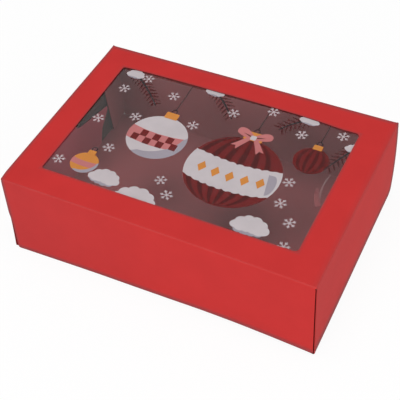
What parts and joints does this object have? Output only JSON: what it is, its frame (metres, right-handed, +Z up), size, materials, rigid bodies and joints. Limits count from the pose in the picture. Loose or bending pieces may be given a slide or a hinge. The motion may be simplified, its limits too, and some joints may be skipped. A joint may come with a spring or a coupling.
{
  "type": "windowed cookie box",
  "caption": "Folding carton with a hinged lid whose deep skirts cover the front and sides, roll-over side walls and a clear printed film window.",
  "frame": {"origin": "centre of the closed box's footprint, on the surface it stands on", "axes": "+X along the long side, +Y to the back, where the lid's hinge crease is, +Z up"},
  "size_m": [0.23, 0.16, 0.07],
  "materials": {
    "lid_board": "solid folding board, coated red outside with a low sheen, bare and dull red inside",
    "tray_board": "the same solid folding board, coated red outside, bare and dull red inside",
    "window_film": null
  },
  "bodies": {
    "tray": {"bottom_panel": "tray_board", "front_wall": "tray_board", "back_wall": "tray_board", "left_wall": "tray_board", "right_wall": "tray_board", "front_left_ear": "tray_board", "front_right_ear": "tray_board", "back_left_ear": "tray_board", "back_right_ear": "tray_board", "left_roll_strip": "tray_board", "right_roll_strip": "tray_board", "left_inner_wall": "tray_board", "right_inner_wall": "tray_board"},
    "lid": {"lid_panel": "lid_board", "window_film": "window_film"},
    "lid_front": {"front_skirt": "lid_board"},
    "lid_left": {"left_skirt": "lid_board", "left_corner_tab": "lid_board"},
    "lid_right": {"right_skirt": "lid_board", "right_corner_tab": "lid_board"}
  },
  "joints": [
    {"name": "lid_hinge", "type": "hinge", "parent": "tray", "child": "lid", "pos_m": [0, 0.08, 0.07], "axis": [-1, 0, 0], "range_deg": [0, 180]},
    {"name": "front_skirt_fold", "type": "hinge", "parent": "lid", "child": "lid_front", "pos_m": [0, -0.08, 0.07], "axis": [-1, 0, 0], "range_deg": [0, 90]},
    {"name": "left_skirt_fold", "type": "hinge", "parent": "lid", "child": "lid_left", "pos_m": [-0.115, 0, 0.07], "axis": [0, 1, 0], "range_deg": [0, 90]},
    {"name": "right_skirt_fold", "type": "hinge", "parent": "lid", "child": "lid_right", "pos_m": [0.115, 0, 0.07], "axis": [0, -1, 0], "range_deg": [0, 90]}
  ]
}
